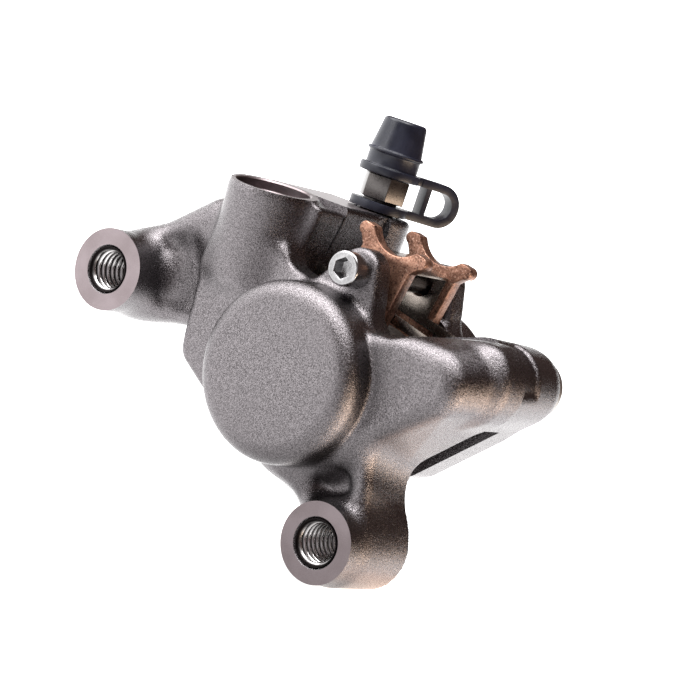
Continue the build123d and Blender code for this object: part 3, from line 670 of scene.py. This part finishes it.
class Finish:
    """A material, built from nodes."""

    def __init__(self, name, **constants):
        self.material = bpy.data.materials.new(name)
        self.material.use_nodes = True
        self.tree = self.material.node_tree
        self.shader = self.tree.nodes["Principled BSDF"]
        for socket, value in constants.items():
            self.shader.inputs[socket.replace("_", " ")].default_value = value
        self.place = self.node("ShaderNodeTexCoord", {}, {}, "Object")

    def node(self, kind, settings, values, output=0):
        """Adds a node: its settings first, then the values or links of its sockets."""
        made = self.tree.nodes.new(kind)
        for key, value in settings.items():
            setattr(made, key, value)
        for key, value in values.items() if isinstance(values, dict) else enumerate(values):
            if isinstance(value, Wire):
                self.tree.links.new(value.socket, made.inputs[key])
            elif isinstance(value, tuple):
                made.inputs[key].default_value = (*value, 1)
            else:
                made.inputs[key].default_value = value
        return Wire(self, made.outputs[output])

    def noise(self, scale, detail, roughness=0.5):
        values = {"Vector": self.place, "Scale": scale, "Detail": detail, "Roughness": roughness}
        return self.node("ShaderNodeTexNoise", {}, values, "Fac")

    def mask(self, value, low, high):
        """0 at one value and 1 at another, with a soft step between."""
        values = {"Value": value, "From Min": low, "From Max": high}
        return self.node("ShaderNodeMapRange", {"interpolation_type": "SMOOTHSTEP"}, values)

    def blend(self, share, a, b):
        """Mix of two colours."""
        return self.node("ShaderNodeMix", {"data_type": "RGBA"}, {0: share, 6: a, 7: b}, 2)

    def axis(self, which):
        """Distance along one axis of the part, in metres."""
        return self.node("ShaderNodeSeparateXYZ", {}, [self.place], which)

    def drive(self, socket, wire):
        self.tree.links.new(wire.socket, self.shader.inputs[socket])

    def bump(self, height, distance, strength):
        values = {"Height": height, "Distance": distance, "Strength": strength}
        self.drive("Normal", self.node("ShaderNodeBump", {}, values))


def blasted_metal():
    """Forged aluminium, bead blasted and anodised a warm gunmetal."""
    metal = Finish("blasted_metal", Metallic=1.0)
    grain = metal.noise(9600, detail=1.0)
    pits = metal.noise(5200, detail=2.0)
    cloud = metal.noise(120, detail=3.0, roughness=0.55)
    bright = metal.mask(grain * 0.65 + pits * 0.35, 0.36, 0.64)
    colour = metal.blend(bright, (0.058, 0.053, 0.055), (0.212, 0.196, 0.204))
    colour = metal.blend(metal.mask(cloud, 0.35, 0.7) * 0.25, colour, (0.13, 0.12, 0.125))
    metal.drive("Base Color", colour)
    metal.drive("Roughness", 0.20 + pits * 0.10 + cloud * 0.05)
    metal.bump(grain * 0.7 + pits * 0.3, distance=0.0001, strength=0.8)
    return metal.material


def machined_metal():
    """Faces cut after blasting: smoother, lighter and a little pink."""
    metal = Finish("machined_metal", Metallic=1.0)
    grain = metal.noise(6000, detail=2.0, roughness=0.6)
    cloud = metal.noise(260, detail=3.0)
    bright = metal.mask(cloud * 0.6 + grain * 0.4, 0.35, 0.65)
    metal.drive("Base Color", metal.blend(bright, (0.165, 0.137, 0.141), (0.21, 0.177, 0.184)))
    metal.drive("Roughness", 0.27 + grain * 0.16)
    metal.bump(grain, distance=0.00003, strength=0.4)
    return metal.material


def steel(name, colour, rough):
    """Plated or bare steel, a little uneven in colour and gloss."""
    metal = Finish(name, Metallic=1.0)
    grain = metal.noise(3000, detail=3.0, roughness=0.6)
    cloud = metal.noise(400, detail=2.0)
    dim = tuple(c * 0.72 for c in colour)
    bright = metal.mask(grain * 0.4 + cloud * 0.6, 0.3, 0.7)
    metal.drive("Base Color", metal.blend(bright, dim, colour))
    metal.drive("Roughness", rough + grain * 0.12 + cloud * 0.05)
    metal.bump(grain, distance=0.00003, strength=0.3)
    return metal.material


def thread_wire():
    """Stainless wire of the inserts, with painted shade darkening the grooves between the turns."""
    metal = Finish("thread_wire", Metallic=1.0)
    grain = metal.noise(3000, detail=3.0, roughness=0.6)
    from_middle = metal.node("ShaderNodeMath", {"operation": "ABSOLUTE"}, [metal.axis("X")])
    across, height = from_middle - lug_two_x * MM, metal.axis("Z")
    from_axis = (across * across + height * height) ** 0.5
    # Painted shade: the colour goes nearly black towards the root of each groove, where shade falls
    groove = metal.mask(from_axis, 2.56 * MM, 2.90 * MM)
    metal.drive("Base Color", metal.blend(groove, (0.62, 0.60, 0.60), (0.012, 0.010, 0.010)))
    metal.drive("Roughness", 0.16 + grain * 0.1 + groove * 0.3)
    metal.bump(grain, distance=0.00002, strength=0.3)
    return metal.material


def copper_plate():
    """Worn copper coloured coating on the pads' plates, with light and dark speckles."""
    plate = Finish("copper_plate", Metallic=0.85)
    speckle = plate.noise(3600, detail=4.0, roughness=0.7)
    blotch = plate.noise(420, detail=3.0, roughness=0.6)
    worn = plate.mask(blotch, 0.36, 0.62)
    colour = plate.blend(worn, (0.155, 0.075, 0.050), (0.33, 0.175, 0.120))
    colour = plate.blend(plate.mask(speckle, 0.54, 0.66), colour, (0.46, 0.30, 0.23))
    colour = plate.blend(plate.mask(speckle, 0.47, 0.38), colour, (0.05, 0.025, 0.018))
    plate.drive("Base Color", colour)
    plate.drive("Roughness", 0.28 + speckle * 0.25)
    plate.bump(speckle * 0.6 + blotch * 0.4, distance=0.00008, strength=0.5)
    return plate.material


def friction_block():
    """Pressed friction compound: dark, crumbly, with a few metal flecks."""
    block = Finish("friction_block", Metallic=0.25)
    crumbs = block.noise(1500, detail=4.0, roughness=0.75)
    fine = block.noise(4200, detail=2.0, roughness=0.6)
    loose = block.mask(crumbs, 0.4, 0.62)
    colour = block.blend(loose, (0.022, 0.018, 0.016), (0.075, 0.060, 0.052))
    colour = block.blend(block.mask(fine, 0.62, 0.74), colour, (0.20, 0.14, 0.10))
    block.drive("Base Color", colour)
    block.drive("Roughness", 0.62 + crumbs * 0.25)
    block.bump(crumbs, distance=0.00015, strength=0.7)
    return block.material


def rubber(name, colour, rough):
    """Moulded rubber with a dull, slightly cloudy skin."""
    soft = Finish(name, Metallic=0.0, Specular_IOR_Level=0.32)
    fine = soft.noise(2800, detail=3.0, roughness=0.6)
    cloud = soft.noise(300, detail=2.0)
    lighter = tuple(c * 1.7 + 0.004 for c in colour)
    soft.drive("Base Color", soft.blend(soft.mask(cloud, 0.35, 0.7), colour, lighter))
    soft.drive("Roughness", rough + fine * 0.16)
    soft.bump(fine, distance=0.00003, strength=0.5)
    return soft.material


body_metal = blasted_metal()
machined = machined_metal()
pin_steel = steel("pin_steel", (0.36, 0.355, 0.36), 0.14)
nipple_steel = steel("nipple_steel", (0.11, 0.102, 0.099), 0.20)
bolt_steel = steel("bolt_steel", (0.42, 0.41, 0.40), 0.34)
spring_steel = steel("spring_steel", (0.30, 0.26, 0.23), 0.18)
wire_steel = thread_wire()
piston_metal = steel("piston_metal", (0.34, 0.33, 0.33), 0.30)
copper = copper_plate()
lining = friction_block()
cap_rubber = rubber("cap_rubber", (0.0050, 0.0058, 0.0120), 0.26)
seal_rubber = rubber("seal_rubber", (0.010, 0.010, 0.010), 0.45)


def finish(piece, material, body, slot):
    """Gives a piece its material and, unless body is None, the body it rides on. The slot is not
    used.
    """
    piece.data.materials.clear()
    piece.data.materials.append(material)
    if body is not None:
        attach(piece, body)


def machine_faces(piece, tests):
    """Gives the machined finish to the faces that a test picks by centre and normal."""
    piece.data.materials.append(machined)
    count = len(piece.data.polygons)
    centre, normal = np.empty(count * 3), np.empty(count * 3)
    piece.data.polygons.foreach_get("center", centre)
    piece.data.polygons.foreach_get("normal", normal)
    centre, normal = centre.reshape(-1, 3) / MM, normal.reshape(-1, 3)
    chosen = np.zeros(count, bool)
    for test in tests:
        chosen |= test(centre, normal)
    piece.data.polygons.foreach_set("material_index", chosen.astype(np.int32))


# The least that a flat face's normal agrees with an axis, and the most that it's off its plane
square, level = 0.999, 0.01


def lug_faces(centre, normal):
    return (normal[:, 1] < -square) & (np.abs(centre[:, 1]) < level)


def port_faces(centre, normal):
    """The port's rim, and all that is cut inside it."""
    offset = centre - np.array(port_rim)
    run = offset @ np.array(port_axis)
    across = np.sqrt(np.maximum((offset * offset).sum(axis=1) - run * run, 0))
    flat = (normal @ np.array(port_axis) > square) & (np.abs(run) < level)
    inside = (across < spot_r + 0.21) & (run < level) & (run > -port_bore_length - 0.1)
    return (across < port_boss_r + 0.9) & (flat | inside)


def nipple_seat_faces(centre, normal):
    reach = centre @ np.array(deck_axis)
    return (normal @ np.array(deck_axis) > square) & (np.abs(reach - rear_deck_reach) < level)


front = front_half()
finish(front, body_metal, "caliper_body", "body_metal")
machine_faces(front, (lug_faces, port_faces))
smooth(front, 30)
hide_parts("front_half")

rear = rear_half()
finish(rear, body_metal, "caliper_body", "body_metal")
machine_faces(rear, (nipple_seat_faces,))
smooth(rear, 30)
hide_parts("rear_half")

for node, centre_x in (("upper_thread_insert", lug_one_x), ("lower_thread_insert", lug_two_x)):
    insert = wound_insert(node, centre_x)
    finish(insert, wire_steel, "caliper_body", "spring_steel")
    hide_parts(node)

made_of_cad = {}
for node, bevel, material, body, slot in (
    ("front_pad_plate", 0.16, copper, "front_pad", "plate_copper"),
    ("rear_pad_plate", 0.16, copper, "rear_pad", "plate_copper"),
    ("front_pad_lining", 0.12, lining, "front_pad", "lining"),
    ("rear_pad_lining", 0.12, lining, "rear_pad", "lining"),
    ("pad_pin", 0.10, pin_steel, "pad_pin", "pin_steel"),
    ("nose_bolt", 0.12, bolt_steel, "caliper_body", "bolt_steel"),
    ("bridge_bolt", 0.12, bolt_steel, "caliper_body", "bolt_steel"),
    ("bleed_nipple", 0.12, nipple_steel, "bleed_nipple", "pin_steel"),
    ("bleed_cap", 0.22, cap_rubber, "bleed_cap", "cap_rubber"),
    ("cap_strap", 0.30, cap_rubber, None, "cap_rubber"),
    ("pad_spring", 0.05, spring_steel, "caliper_body", "spring_steel"),
):
    made_of_cad[node] = dressed(node, bevel)
    finish(made_of_cad[node], material, body, slot)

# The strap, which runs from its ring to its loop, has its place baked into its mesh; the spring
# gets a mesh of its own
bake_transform(made_of_cad["cap_strap"])
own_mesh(made_of_cad["pad_spring"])

for node, material in (
    ("front_piston", piston_metal),
    ("rear_piston", piston_metal),
    ("front_piston_seal", seal_rubber),
    ("rear_piston_seal", seal_rubber),
    ("crossover_seal", seal_rubber),
):
    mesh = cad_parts[node].data
    mesh.materials.clear()
    mesh.materials.append(material)

# Camera at the photograph's angle
right, up = Vector((0.5717, 0.5336, 0.6233)), Vector((-0.70471, -0.06967, 0.70607))
back = Vector((0.42016, -0.84288, 0.33619))
camera = bpy.data.objects.new("photo_camera", bpy.data.cameras.new("photo_camera"))
camera.data.lens, camera.data.sensor_width = 110.13, 36
camera.data.clip_start, camera.data.clip_end = 0.01, 100
rotation = Matrix((right, up, back)).transposed().to_4x4()
camera.matrix_world = Matrix.Translation(Vector((0.12594, -0.23083, 0.11262))) @ rotation
bpy.context.scene.collection.objects.link(camera)
bpy.context.scene.camera = camera

# Floor and light, in metres
floor_half, floor_gap = 6, 0.0004
floor_z = min(corner[2] for corner in (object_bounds()[0], cad_box[0])) - floor_gap
floor_corners = [
    (x * floor_half, y * floor_half, floor_z) for x, y in ((-1, -1), (1, -1), (1, 1), (-1, 1))
]
floor = new_object("floor", floor_corners, [(0, 1, 2, 3)])
# The floor is nearly black paint that glows white: its brightness is painted light, not lamp light
floor_glow = Finish("glowing_floor", Roughness=0.9, Emission_Strength=3.0)
floor_glow.drive("Base Color", floor_glow.blend(floor_glow.noise(40, 2.0), (0.08, 0.08, 0.08), (0.1, 0.1, 0.1)))

# The floor glows, so that it looks white all over. Three places on it glow warmer or dimmer, a
# painted pool of warm light and two painted dim patches, which show only where the metal mirrors
# them, as painted reflections: X, Y, radius inside, radius outside and colour
glow = (0.78, 0.78, 0.78)
for x, y, inside, outside, colour in (
    (0.038, 0.016, 0.008, 0.026, (1.0, 0.77, 0.64)),
    (0.036, -0.020, 0.024, 0.042, (0.35, 0.35, 0.35)),
    (-0.052, -0.082, 0.012, 0.062, (0.42, 0.42, 0.42)),
):
    across, along = floor_glow.axis("X") - x, floor_glow.axis("Y") - y
    distance = (across * across + along * along) ** 0.5
    glow = floor_glow.blend(floor_glow.mask(distance, inside, outside), colour, glow)
floor_glow.drive("Emission Color", glow)
floor.data.materials.append(floor_glow.material)
floor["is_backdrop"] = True

middle = Vector((0.003, 0.012, 0.014))


def softbox(name, toward, distance, size, power, colour=(1, 1, 1)):
    """Area light, placed by the photograph's directions: right, up and to the camera."""
    direction = (right * toward[0] + up * toward[1] + back * toward[2]).normalized()
    light = bpy.data.lights.new(name, "AREA")
    light.shape, light.size, light.size_y = "RECTANGLE", *size
    light.energy, light.color = power, colour
    lamp = bpy.data.objects.new(name, light)
    lamp.location = middle + direction * distance
    lamp.rotation_euler = direction.to_track_quat("Z", "Y").to_euler()
    bpy.context.scene.collection.objects.link(lamp)


cool, warm = (0.95, 0.96, 1.0), (1.0, 0.78, 0.58)
softbox("key", (-0.75, 0.75, 0.45), 0.6, size=(0.34, 0.34), power=1.8)
softbox("front_fill", (-0.1, 0.1, 1.0), 0.8, size=(0.5, 0.5), power=0.5, colour=cool)
softbox("top", (-0.05, 0.9, 0.12), 0.6, size=(0.55, 0.9), power=11.5)
softbox("overhead", (0.31, 0.82, 0.48), 0.6, size=(0.35, 0.35), power=2.2)
softbox("warm_low", (0.754, -0.602, 0.264), 0.31, size=(0.3, 0.1), power=0.9, colour=warm)

world = bpy.data.worlds.new("studio")
world.use_nodes = True
world.node_tree.nodes["Background"].inputs["Color"].default_value = (1.0, 0.64, 0.55, 1)
world.node_tree.nodes["Background"].inputs["Strength"].default_value = 0.12
bpy.context.scene.world = world
bpy.context.scene.view_settings.view_transform = "Standard"
